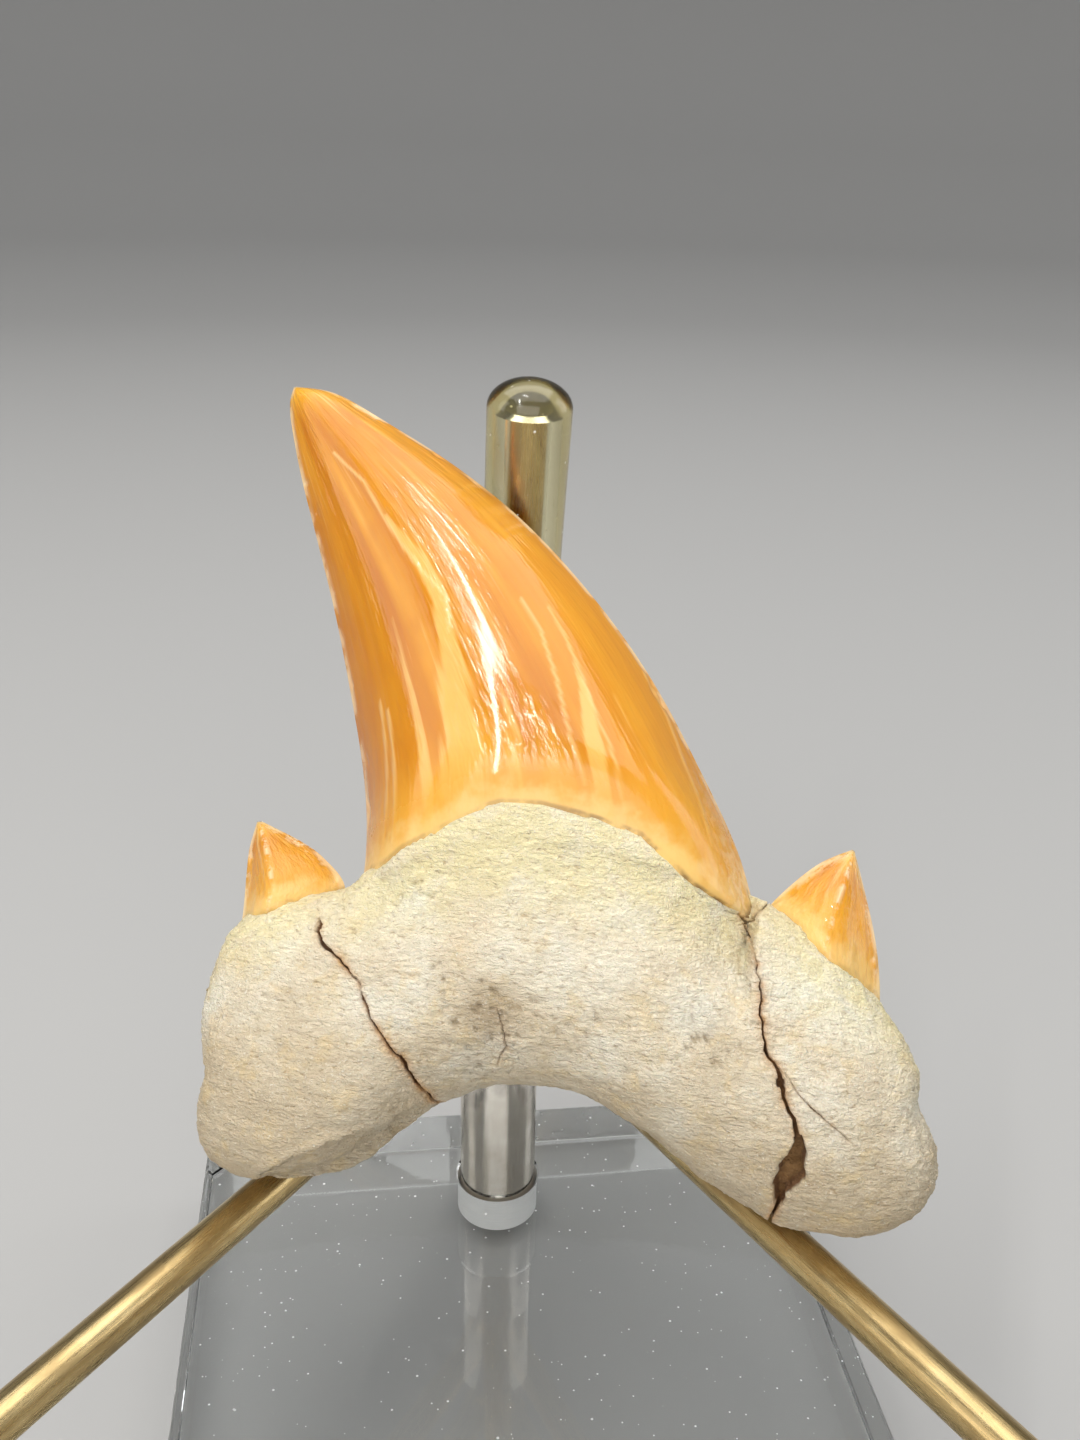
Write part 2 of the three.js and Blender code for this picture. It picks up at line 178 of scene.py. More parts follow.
# Cracks thinner than this half width are drawn thinner still
FINE_WIDTH = 0.35
FINE_SHARE = 0.62

# Edge of the plate that overhangs the underside of the left lobe: x, z
LEDGE = [
    [-20.4, 0.9], [-19.4, 1.7], [-17.7, 2.9], [-16.4, 3.7], [-14.6, 4.5], [-13.6, 5.4], [-11.9, 6.2],
    [-10.3, 6.8], [-8.8, 7.9], [-7.6, 8.6],
]

# Thin pale lines along the crown's front: share of its width, share of its length
ENAMEL_LINES = [
    [[0.691, 0.51], [0.691, 0.47], [0.652, 0.408], [0.607, 0.324], [0.601, 0.235]],
    [[0.77, 0.505], [0.763, 0.469], [0.741, 0.424], [0.722, 0.384], [0.711, 0.328], [0.696, 0.229],
     [0.713, 0.111]],
    [[0.107, 0.414], [0.095, 0.345], [0.079, 0.194]],
    [[0.127, 0.399], [0.118, 0.314], [0.116, 0.193]],
    [[0.983, 0.459], [0.975, 0.417], [0.942, 0.351], [0.918, 0.234]],
    [[0.474, 0.379], [0.469, 0.344], [0.461, 0.286]],
    [[0.309, 0.748], [0.378, 0.69], [0.366, 0.631], [0.378, 0.588], [0.399, 0.55], [0.437, 0.514],
     [0.399, 0.47]],
]
CUSPLET_LINES = [[[0.5, 0.3], [0.5, 1.0]]]
# Broad cream streaks along the crown's front, the third of them a painted highlight: share of its width,
# share of its length, half width, strength
CREAM_STREAKS_AND_HIGHLIGHT = [
    [[0.38, 0.63, 0.3, 0.5], [0.414, 0.564, 0.9, 1.0], [0.414, 0.51, 1.1, 1.0], [0.376, 0.445, 1.5, 0.9],
     [0.34, 0.381, 2.2, 0.9], [0.30, 0.259, 2.8, 0.9], [0.30, 0.12, 3.2, 0.8]],
    [[0.23, 0.50, 0.3, 0.4], [0.217, 0.394, 0.6, 0.8], [0.212, 0.278, 0.8, 0.8], [0.23, 0.12, 0.9, 0.8]],
    # This streak is a painted highlight, a lamp's reflection on the right of the crown
    [[0.74, 0.44, 0.2, 0.4], [0.72, 0.40, 0.7, 0.9], [0.662, 0.312, 1.1, 1.0], [0.637, 0.19, 1.3, 1.0],
     [0.657, 0.10, 1.4, 0.8]],
    [[0.80, 0.40, 0.8, 0.35], [0.781, 0.33, 1.3, 0.45], [0.80, 0.27, 0.8, 0.3]],
    [[0.55, 0.95, 0.4, 0.5], [0.66, 0.88, 0.5, 0.6], [0.62, 0.80, 0.3, 0.2]],
    [[0.50, 0.42, 0.6, 0.5], [0.46, 0.33, 1.2, 0.7], [0.43, 0.2, 1.6, 0.6]],
]

# Length that lines and streaks are measured along, and half the width of a thin line
BLADE_LENGTH = 45.0
LINE_HALF_WIDTH = 0.22
# Steps of each blade's mesh, round it and along it
CROWN_GRID = (300, 250)
CUSPLET_GRID = (100, 90)
CHIP_DEPTH = 0.14
SAME_POINT = 1e-3

# Rough hollows of the root's front, also painted darker there as painted shade: x, z, radius, strength
ROUGH_SPOTS = [
    [-2.6, 16.3, 4.5, 1.0], [-3.6, 12.6, 2.6, 0.8], [13.4, 17.3, 3.6, 0.8], [-6.5, 18.2, 4.0, 0.7],
    [4.5, 15.2, 5.0, 0.6], [-9.5, 24.6, 3.4, 0.6], [-20.5, 14.5, 3.5, 0.5], [20.4, 18.0, 3.0, 0.4],
]


def spline(rows, share):
    """Points of a smooth curve through rows, at shares 0 to 1 of its steps."""
    rows = np.asarray(rows, float)
    last = len(rows) - 1
    place = np.clip(share, 0, 1) * last
    i = np.floor(place).astype(int)
    w = (place - i)[..., None]
    p0 = rows[np.maximum(i - 1, 0)]
    p1 = rows[np.minimum(i, last)]
    p2 = rows[np.minimum(i + 1, last)]
    p3 = rows[np.minimum(i + 2, last)]
    v0 = (p2 - p0) / 2
    v1 = (p3 - p1) / 2
    return (2 * p1 - 2 * p2 + v0 + v1) * w**3 + (3 * p2 - 3 * p1 - 2 * v0 - v1) * w**2 + v0 * w + p1


def smoothstep(low, high, value):
    t = np.clip((value - low) / (high - low), 0, 1)
    return t * t * (3 - 2 * t)


def spot(x, z, middle_x, middle_z, radius):
    """1 at a middle, fading to about a third at radius and to 0 beyond."""
    return np.exp(-((x - middle_x) ** 2 + (z - middle_z) ** 2) / radius**2)


def signed_power(value, power):
    value = np.where(np.abs(value) < 1e-9, 0, value)
    return np.sign(value) * np.abs(value) ** power


def noise_at(points, size, stretch=(1, 1, 1), shift=0.0, octaves=1):
    """Seeded noise, about -1 to 1, whose lumps are size wide, at each point."""
    places = points * np.asarray(stretch) / size + shift
    if octaves == 1:
        return np.array([noise.noise(p) for p in places.tolist()])
    return np.array([noise.fractal(p, 0.6, 2.0, octaves) for p in places.tolist()])


def along_line(points, line):
    """Distance of each x, z from a broken line, and the line's other values at the nearest place."""
    points = np.asarray(points, float)
    line = np.asarray(line, float)
    best = np.full(len(points), 1e9)
    values = np.zeros((len(points), line.shape[1] - 2))
    for a, b in zip(line[:-1], line[1:]):
        step = b[:2] - a[:2]
        t = np.clip(((points - a[:2]) @ step) / (step @ step), 0, 1)
        gap = np.linalg.norm(points - a[:2] - t[:, None] * step, axis=1)
        nearer = gap < best
        best[nearer] = gap[nearer]
        values[nearer] = a[2:] + t[nearer, None] * (b[2:] - a[2:])
    return best, values


def jagged(line, rng, wander=0.14, step=0.45):
    """A line with small seeded kinks."""
    points = [line[0]]
    for a, b in zip(line[:-1], line[1:]):
        a, b = np.array(a, float), np.array(b, float)
        pieces = max(1, int(np.hypot(*(b - a)[:2]) / step))
        for k in range(1, pieces + 1):
            point = a + (b - a) * k / pieces
            if k < pieces:
                point[:2] += rng.uniform(-wander, wander, 2)
                point[2:] *= rng.uniform(0.75, 1.3)
            points.append(point.tolist())
    return points


def to_world(points, matrix):
    points = np.asarray(points, float)
    m = np.array(matrix)
    return (points @ m[:3, :3].T + m[:3, 3]) * MM


STAND = Matrix.Translation((0, POST_SETBACK, BASE_THICKNESS))
TOOTH = (
    STAND
    @ Matrix.Translation(TOOTH_PLACE)
    @ Matrix.Rotation(math.radians(TOOTH_YAW), 4, "Z")
    @ Matrix.Rotation(math.radians(-TOOTH_LEAN), 4, "X")
)


def new_piece(name, mesh, materials, node):
    """Adds a mesh to the scene as a piece of the object."""
    piece = bpy.data.objects.new(name, mesh)
    bpy.context.scene.collection.objects.link(piece)
    for material in materials:
        mesh.materials.append(material)
    mesh.shade_smooth()
    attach(piece, "root")
    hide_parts(node)


def set_attribute(mesh, name, values):
    values = np.asarray(values, np.float32)
    if values.ndim == 1:
        mesh.attributes.new(name, "FLOAT", "POINT").data.foreach_set("value", values)
    else:
        mesh.attributes.new(name, "FLOAT_VECTOR", "POINT").data.foreach_set("vector", values.ravel())


def read_vectors(items, key):
    values = np.zeros(len(items) * 3, np.float32)
    items.foreach_get(key, values)
    return values.reshape(-1, 3).astype(float)


def mesh_points(mesh):
    return read_vectors(mesh.vertices, "co")


def mesh_normals(mesh):
    return read_vectors(mesh.vertex_normals, "vector")


def place_points(mesh, points):
    mesh.vertices.foreach_set("co", np.asarray(points, np.float32).ravel())
    mesh.update()


def loft(rings, closed_end=True):
    """Points and faces through rings of equally many points, closed over the first ring and the last."""
    rings = [np.asarray(r, float) for r in rings]
    count = len(rings[0])
    last = (len(rings) - 1) * count
    faces = []
    for start in range(0, last, count):
        for i in range(count):
            j = (i + 1) % count
            faces.append((start + i, start + j, start + count + j, start + count + i))
    tip = last + count
    centres = [rings[0].mean(axis=0)]
    faces += [(tip, (i + 1) % count, i) for i in range(count)]
    if closed_end:
        centres.append(rings[-1].mean(axis=0))
        faces += [(tip + 1, last + i, last + (i + 1) % count) for i in range(count)]
    return np.concatenate([*rings, centres]), faces


def mesh_from(name, points, faces):
    """A mesh of points in millimetres of the world."""
    mesh = bpy.data.meshes.new(name)
    mesh.from_pydata((np.asarray(points) * MM).tolist(), [], faces)
    mesh.validate()
    mesh.update()
    return mesh


def mark_sharp(mesh, angle=35):
    """Marks edges sharper than angle, in degrees."""
    bm = bmesh.new()
    bm.from_mesh(mesh)
    bmesh.ops.recalc_face_normals(bm, faces=bm.faces)
    for edge in bm.edges:
        edge.smooth = len(edge.link_faces) == 2 and edge.calc_face_angle() < math.radians(angle)
    bm.to_mesh(mesh)
    bm.free()


def srgb(red, green, blue):
    """A colour given as a screen shows it, 0 to 255, in the renderer's own linear values."""
    linear = []
    for value in (red, green, blue):
        c = value / 255
        linear.append(c / 12.92 if c <= 0.04045 else ((c + 0.055) / 1.055) ** 2.4)
    return (*linear, 1.0)


class Finish:
    """A material and short calls for its nodes."""

    def __init__(self, name):
        self.material = bpy.data.materials.new(name)
        self.material.use_nodes = True
        self.tree = self.material.node_tree
        self.tree.nodes.clear()
        self.output = self.tree.nodes.new("ShaderNodeOutputMaterial")

    def node(self, kind, inputs=None, **settings):
        made = self.tree.nodes.new(kind)
        for key, value in settings.items():
            setattr(made, key, value)
        for key, value in (inputs or {}).items():
            self.put(made.inputs[key], value)
        return made

    def put(self, socket, value):
        if isinstance(value, bpy.types.NodeSocket):
            self.tree.links.new(value, socket)
        else:
            socket.default_value = value

    def attribute(self, name, output="Vector"):
        return self.node("ShaderNodeAttribute", attribute_name=name).outputs[output]

    def value_of(self, name):
        return self.attribute(name, "Fac")

    def split(self, vector):
        return self.node("ShaderNodeSeparateXYZ", {0: vector}).outputs

    def join(self, x, y, z):
        return self.node("ShaderNodeCombineXYZ", {0: x, 1: y, 2: z}).outputs[0]

    def math(self, operation, a, b=0.0, clamp=False):
        made = self.node("ShaderNodeMath", {0: a, 1: b}, operation=operation, use_clamp=clamp)
        return made.outputs[0]

    def plus(self, a, b, clamp=False):
        return self.math("ADD", a, b, clamp)

    def times(self, a, b):
        return self.math("MULTIPLY", a, b)

    def scaled(self, vector, scale):
        return self.node("ShaderNodeVectorMath", {0: vector, 1: scale}, operation="MULTIPLY").outputs[0]

    def noise(self, vector, scale, detail=2.0, roughness=0.5, distortion=0.0):
        inputs = {
            "Vector": vector,
            "Scale": scale,
            "Detail": detail,
            "Roughness": roughness,
            "Distortion": distortion,
        }
        return self.node("ShaderNodeTexNoise", inputs).outputs["Fac"]

    def cells(self, vector, scale):
        made = self.node("ShaderNodeTexVoronoi", {"Vector": vector, "Scale": scale}, feature="F1")
        return made.outputs["Distance"]

    def step(self, value, low, high, start=0.0, end=1.0):
        inputs = {"Value": value, "From Min": low, "From Max": high, "To Min": start, "To Max": end}
        return self.node("ShaderNodeMapRange", inputs, interpolation_type="SMOOTHSTEP").outputs["Result"]

    def ramp(self, value, stops):
        made = self.node("ShaderNodeValToRGB", {0: value})
        elements = made.color_ramp.elements
        while len(elements) < len(stops):
            elements.new(0.5)
        for element, (place, colour) in zip(elements, stops):
            element.position = place
            element.color = colour
        return made.outputs["Color"]

    def mix(self, share, a, b):
        made = self.node("ShaderNodeMix", data_type="RGBA")
        self.put(made.inputs["Factor"], share)
        self.put(made.inputs[6], a)
        self.put(made.inputs[7], b)
        return made.outputs[2]

    def bump(self, height, distance, strength=1.0):
        inputs = {"Height": height, "Distance": distance, "Strength": strength}
        return self.node("ShaderNodeBump", inputs).outputs["Normal"]

    def surface(self, **inputs):
        """The material's shader. Names are the shader's own, with _ for spaces."""
        shader = self.node("ShaderNodeBsdfPrincipled")
        for key, value in inputs.items():
            self.put(shader.inputs[key.replace("_", " ")], value)
        self.tree.links.new(shader.outputs["BSDF"], self.output.inputs["Surface"])
        return self.material


def enamel_finish():
    f = Finish("enamel")
    place = f.attribute("place")
    blade = f.split(f.attribute("blade"))
    across, along, front = blade[0], blade[1], blade[2]
    fade = f.value_of("fade")
    edge = f.value_of("edge")
    grain = f.join(f.times(across, 11.0), f.times(along, 2.2), f.times(front, 5.0))
    hairs = f.join(f.times(across, 46.0), f.times(along, 5.0), front)
    broad = f.noise(grain, 1.0, 2.0, 0.45, 0.5)
    fine = f.noise(hairs, 1.0, 3.0, 0.55, 0.3)
    clouds = f.noise(place, 0.16, 2.0, 0.5)
    colour = f.ramp(broad, [
        (0.30, srgb(182, 109, 22)),
        (0.48, srgb(197, 128, 26)),
        (0.64, srgb(206, 140, 38)),
        (0.80, srgb(214, 156, 62)),
    ])
    colour = f.mix(f.step(clouds, 0.40, 0.66, 0.0, 0.45), colour, srgb(188, 115, 24))
    colour = f.mix(f.step(fine, 0.60, 0.80, 0.0, 0.3), colour, srgb(228, 182, 108))
    # Cream streaks with ragged edges; one of them is a painted highlight
    ragged = f.plus(f.value_of("streak_and_highlight"), f.step(fine, 0.25, 0.75, -0.34, 0.30))
    ragged = f.plus(ragged, f.step(broad, 0.3, 0.7, -0.14, 0.14))
    colour = f.mix(f.step(ragged, 0.16, 0.85, 0.0, 0.78), colour, srgb(224, 180, 104))
    # Thin pale lines
    lines = f.value_of("line")
    colour = f.mix(f.times(lines, 0.55), colour, srgb(230, 192, 126))
    # Brown strip beside the outer edge, yellow tip
    strip = f.times(f.step(across, 0.03, 0.13, 1.0, 0.0), f.step(along, 0.62, 0.88, 1.0, 0.0))
    strip = f.times(strip, f.value_of("long"))
    colour = f.mix(f.times(strip, 0.62), colour, srgb(172, 104, 34))
    colour = f.mix(f.step(along, 0.80, 0.97, 0.0, 0.7), colour, srgb(230, 174, 56))
    sunny = f.times(f.step(across, 0.66, 0.84), f.value_of("long"))
    colour = f.mix(f.times(sunny, 0.4), colour, srgb(226, 162, 60))
    # Yellow, then cream, towards the root
    colour = f.mix(f.step(fade, 1.0, 6.0, 0.75, 0.0), colour, srgb(214, 154, 48))
    uneven = f.plus(fade, f.step(f.noise(place, 0.5, 3.0, 0.6), 0.3, 0.7, 0.45, -0.45))
    colour = f.mix(f.step(uneven, 0.2, 1.9, 0.7, 0.0), colour, srgb(224, 190, 120))
    # Worn, chipped rim
    chips = f.step(f.noise(place, 1.1, 4.0, 0.65), 0.44, 0.58)
    rim = f.times(f.step(edge, 0.1, 0.6, 1.0, 0.0), f.step(f.noise(place, 0.35, 2.0), 0.35, 0.6))
    worn = f.math("MAXIMUM", rim, f.times(f.value_of("wear"), chips))
    colour = f.mix(f.times(worn, 0.7), colour, srgb(232, 206, 166))
    # Dark seam against the root
    gaps = f.step(f.noise(place, 0.45, 3.0, 0.6), 0.38, 0.60, 0.05, 0.8)
    right = f.step(across, 0.35, 0.75, 0.5, 1.0)
    darker = f.times(right, f.step(f.value_of("long"), 0.0, 1.0, 0.4, 1.0))
    seam = f.times(f.times(f.step(fade, 0.12, 0.38, 1.0, 0.0), gaps), darker)
    colour = f.mix(seam, colour, srgb(112, 82, 48))
    rough = f.plus(f.step(fine, 0.3, 0.7, 0.07, 0.13), f.times(worn, 0.4))
    rough = f.plus(rough, f.step(fade, 0.0, 4.5, 0.4, 0.0), clamp=True)
    waves = f.noise(f.scaled(grain, (1.0, 2.6, 1.0)), 1.3, 3.0, 0.6)
    height = f.plus(f.times(waves, 4.0), f.times(fine, 0.3))
    height = f.plus(height, f.times(worn, -0.9))
    height = f.plus(height, f.times(lines, 0.5))
    normal = f.bump(height, 0.00006, 0.8)
    return f.surface(
        Base_Color=colour, Roughness=rough, Normal=normal, IOR=1.48, Specular_IOR_Level=0.3,
        Coat_Weight=0.3, Coat_Roughness=0.05,
        Subsurface_Weight=0.2, Subsurface_Radius=(0.003, 0.0013, 0.0005), Subsurface_Scale=0.4,
    )


def root_finish():
    f = Finish("root_bone")
    place = f.attribute("place")
    xyz = f.split(place)
    crack = f.value_of("crack")
    pit_and_shade = f.value_of("pit_and_shade")
    neck = f.value_of("neck")
    flat = f.scaled(place, (0.8, 1.0, 2.1))
    patches = f.noise(place, 0.16, 4.0, 0.55)
    blotches = f.noise(place, 0.5, 4.0, 0.6, 0.4)
    grains = f.noise(flat, 1.7, 5.0, 0.62, 0.5)
    sand = f.noise(place, 5.5, 3.0, 0.6)
    colour = f.ramp(patches, [
        (0.30, srgb(244, 226, 194)),
        (0.50, srgb(252, 239, 212)),
        (0.70, srgb(255, 249, 230)),
    ])
    # Darker towards the bottom of the root: painted shade on the lower lobes, which turn down away from the
    # light above
    painted_shade_height = f.plus(xyz[2], f.step(patches, 0.3, 0.7, -3.0, 3.0))
    colour = f.mix(f.step(painted_shade_height, 21.0, 5.0, 0.0, 0.75), colour, srgb(208, 188, 156))
    colour = f.mix(f.step(blotches, 0.50, 0.70, 0.0, 0.35), colour, srgb(238, 208, 146))
    yellow = f.times(f.step(neck, 0.3, 7.0, 0.7, 0.0), f.step(blotches, 0.3, 0.55, 0.35, 1.0))
    colour = f.mix(yellow, colour, srgb(255, 240, 182))
    colour = f.mix(f.step(grains, 0.44, 0.28, 0.0, 0.6), colour, srgb(172, 142, 102))
    # Darker pits, and painted shade over the rough hollows
    colour = f.mix(f.step(pit_and_shade, 0.15, 0.9, 0.0, 0.6), colour, srgb(150, 122, 84))
    colour = f.mix(f.step(sand, 0.56, 0.72, 0.0, 0.55), colour, srgb(255, 251, 238))
    stain = f.times(f.step(crack, 0.05, 1.0), f.step(blotches, 0.32, 0.6, 0.2, 0.8))
    colour = f.mix(stain, colour, srgb(206, 146, 80))
    colour = f.mix(f.step(f.value_of("depth"), 0.15, 0.5, 0.0, 0.9), colour, srgb(118, 76, 40))
    chip = f.times(f.step(f.value_of("depth"), 1.0, 1.4), f.step(blotches, 0.35, 0.6, 0.45, 0.9))
    colour = f.mix(chip, colour, srgb(168, 130, 86))
    height = f.plus(f.times(grains, 1.0), f.times(sand, 0.45))
    normal = f.bump(height, 0.0008, 1.0)
    return f.surface(
        Base_Color=colour, Roughness=0.9, Normal=normal, IOR=1.45, Specular_IOR_Level=0.2,
        Subsurface_Weight=0.05, Subsurface_Radius=(0.002, 0.0012, 0.0007), Subsurface_Scale=0.4,
    )


def steel_finish():
    f = Finish("polished_steel")
    lines = f.noise(f.scaled(f.attribute("place"), (9.0, 9.0, 0.25)), 1.0, 3.0, 0.6)
    smears = f.noise(f.attribute("place"), 0.35, 3.0, 0.6)
    rough = f.plus(f.step(lines, 0.3, 0.7, 0.07, 0.16), f.step(smears, 0.4, 0.7, 0.0, 0.08))
    colour = f.ramp(smears, [(0.3, srgb(222, 216, 206)), (0.7, srgb(206, 198, 186))])
    normal = f.bump(lines, 0.000012, 0.6)
    return f.surface(Base_Color=colour, Roughness=rough, Metallic=1.0, Normal=normal, Anisotropic=0.3)


def brass_finish():
    f = Finish("brushed_brass")
    place = f.attribute("place")
    lines = f.noise(f.scaled(place, (7.0, 7.0, 0.22)), 1.0, 4.0, 0.65)
    tarnish = f.noise(f.scaled(place, (1.0, 1.0, 0.35)), 0.5, 4.0, 0.6, 0.4)
    specks = f.noise(place, 3.2, 2.0, 0.5)
    colour = f.ramp(tarnish, [
        (0.30, srgb(176, 150, 104)),
        (0.52, srgb(202, 176, 124)),
        (0.75, srgb(222, 200, 150)),
    ])
    colour = f.mix(f.step(specks, 0.68, 0.78, 0.0, 0.6), colour, srgb(128, 104, 66))
    rough = f.plus(f.step(lines, 0.3, 0.7, 0.2, 0.34), f.step(tarnish, 0.5, 0.3, 0.0, 0.12))
    normal = f.bump(lines, 0.00002, 0.7)
    return f.surface(Base_Color=colour, Roughness=rough, Metallic=1.0, Normal=normal, Anisotropic=0.35)


def clear_finish(name, tint, rough_low, rough_high, density, absorption, speck_scale):
    """Clear plastic: faint specks and smears in its roughness, and colour taken up inside it."""
    f = Finish(name)
    place = f.attribute("place")
    smears = f.noise(place, 0.12, 4.0, 0.6)
    sizes = f.step(f.noise(place, speck_scale * 0.9, 1.0), 0.25, 0.75, 0.0, 0.12)
    specks = f.math("LESS_THAN", f.cells(place, speck_scale), sizes)
    rough = f.plus(f.step(smears, 0.35, 0.75, rough_low, rough_high), f.times(specks, 0.6))
    clear = f.step(specks, 0.0, 1.0, 1.0, 0.35)
    volume = f.node("ShaderNodeVolumeAbsorption", {"Color": absorption, "Density": density})
    f.tree.links.new(volume.outputs["Volume"], f.output.inputs["Volume"])
    return f.surface(
        Base_Color=tint, Roughness=rough, Transmission_Weight=clear, IOR=1.49,
        Normal=f.bump(smears, 0.00004, 0.25),
    )


def frosted_finish():
    f = Finish("frosted_bore")
    turns = f.noise(f.scaled(f.attribute("place"), (0.4, 0.4, 6.0)), 1.0, 3.0, 0.6)
    return f.surface(
        Base_Color=f.ramp(turns, [(0.3, srgb(250, 250, 248)), (0.7, srgb(238, 238, 236))]),
        Roughness=f.step(turns, 0.3, 0.7, 0.45, 0.7), IOR=1.49, Normal=f.bump(turns, 0.00008, 0.6),
    )


ENAMEL = enamel_finish()
BONE = root_finish()
STEEL = steel_finish()
BRASS = brass_finish()
ACRYLIC = clear_finish(
    "clear_acrylic", (0.97, 0.98, 0.975, 1), 0.0, 0.02, 4.0, (0.72, 0.80, 0.78, 1), 0.85
)
VINYL = clear_finish(
    "clear_vinyl", (0.97, 0.97, 0.93, 1), 0.1, 0.18, 200.0, (0.80, 0.70, 0.20, 1), 0.9
)
FROSTED = frosted_finish()


def root_skin(u, v):
    """The root's skin: v along its rows, u round each cut from its top, over the front, back to its top."""
    low_x, low_z, high_x, high_z, front, back, top, bottom = np.moveaxis(spline(ROOT_ROWS, v), -1, 0)
    cos, sin = np.cos(2 * np.pi * u), np.sin(2 * np.pi * u)
    power = 2 / np.where(cos > 0, top, bottom)
    up = signed_power(cos, power)
    out = signed_power(sin, power)
    reach = np.where(out > 0, -front * (1 - ROOT_BELLY * up), back)
    share = (1 + up) / 2
    x = low_x + (high_x - low_x) * share
    z = low_z + (high_z - low_z) * share
    push = sum(depth * spot(x, z, dent_x, dent_z, size) for dent_x, dent_z, depth, size in ROOT_DENTS)
    return np.stack([x + push, reach * np.abs(out), z], axis=-1)


def blade_skin(rows, u, v):
    """The skin of a blade with two sharp edges: v from base to tip, u round it from its left edge."""
    left_x, left_z, right_x, right_z, front, back, rise, fullness = np.moveaxis(spline(rows, v), -1, 0)
    across = np.cos(2 * np.pi * u)
    share = (1 - across) / 2
    swell = 1 - np.abs(across) ** fullness
    reach = np.where(np.sin(2 * np.pi * u) > 0, -front, back)
    x = left_x + (right_x - left_x) * share
    z = left_z + (right_z - left_z) * share + rise * (1 - np.abs(across) ** RISE_FULLNESS)
    return np.stack([x, reach * swell, z], axis=-1), share


def merged(points, faces):
    """A mesh in millimetres with equal points joined. Returns the mesh and each point's first index."""
    bm = bmesh.new()
    tag = bm.verts.layers.int.new("first")
    verts = [bm.verts.new(point) for point in points.tolist()]
    for k, vert in enumerate(verts):
        vert[tag] = k
    for face in faces:
        bm.faces.new([verts[i] for i in face])
    bmesh.ops.remove_doubles(bm, verts=bm.verts, dist=SAME_POINT)
    bmesh.ops.dissolve_degenerate(bm, dist=SAME_POINT / 10, edges=bm.edges)
    bmesh.ops.recalc_face_normals(bm, faces=bm.faces)
    first = np.array([vert[tag] for vert in bm.verts])
    mesh = bpy.data.meshes.new("tooth_part")
    bm.to_mesh(mesh)
    bm.free()
    return mesh, first


def grid_faces(around, along):
    faces = []
    for j in range(along):
        for i in range(around):
            first = j * (around + 1) + i
            above = first + around + 1
            faces.append((first, first + 1, above + 1, above))
    return faces


def make_blade(rows, grid, seed, shift=0.0):
    """One enamel blade, in millimetres of the tooth, with chipped edges and its ridge moved by shift."""
    around, along = grid
    u, v = np.meshgrid(np.linspace(0, 1, around + 1), np.linspace(0, 1, along + 1))
    u, v = u.ravel(), v.ravel()
    points, share = blade_skin(rows, u, v)
    mesh, first = merged(points, grid_faces(around, along))
    points, share, u, v = points[first], share[first], u[first], v[first]
    width = np.interp(v, np.linspace(0, 1, len(rows)), [math.dist(r[:2], r[2:4]) for r in rows])
    edge = np.minimum(share, 1 - share) * width
    front = (np.sin(2 * np.pi * u) >= 0).astype(float)
    points[:, 0] += shift * width * np.sin(np.pi * share) ** 2
    ridges = noise_at(np.stack([share * 7, v * 2.2, front * 7], axis=1), 1.0, shift=seed)
    lift = 0.09 * ridges * smoothstep(0.5, 3.0, edge) * smoothstep(0.98, 0.85, v)
    bites = noise_at(points, 1.3, shift=seed + 5.0)
    near_edge = smoothstep(1.2, 0.5, edge) * smoothstep(0.0, 0.4, edge)
    lift -= CHIP_DEPTH * smoothstep(0.2, 0.6, bites) * near_edge
    points = points + mesh_normals(mesh) * lift[:, None]
    place_points(mesh, points)
    for edge_item in mesh.edges:
        a, b = edge_item.vertices
        edge_item.use_edge_sharp = bool(edge[a] < 0.02 and edge[b] < 0.02)
    return {
        "mesh": mesh,
        "points": points,
        "share": share,
        "v": v,
        "edge": edge,
        "front": front,
        "width": width,
    }


def feature(part, lines, half_width=None):
    """Strength, 0 to 1, of lines drawn on the front of a blade by share of its width and of its length."""
    strength = np.zeros(len(part["points"]))
    order = np.argsort(part["v"])
    flat = np.stack([part["share"] * part["width"], part["v"] * BLADE_LENGTH], axis=1)
    for line in lines:
        widths = np.interp([point[1] for point in line], np.sort(part["v"]), part["width"][order])
        drawn = []
        for point, width in zip(line, widths):
            drawn.append([point[0] * width, point[1] * BLADE_LENGTH, *(point[2:] or (half_width, 1.0))])
        gap, values = along_line(flat, drawn)
        strength = np.maximum(strength, values[:, 1] * smoothstep(1.0, 0.25, gap / values[:, 0]))
    return strength * part["front"]


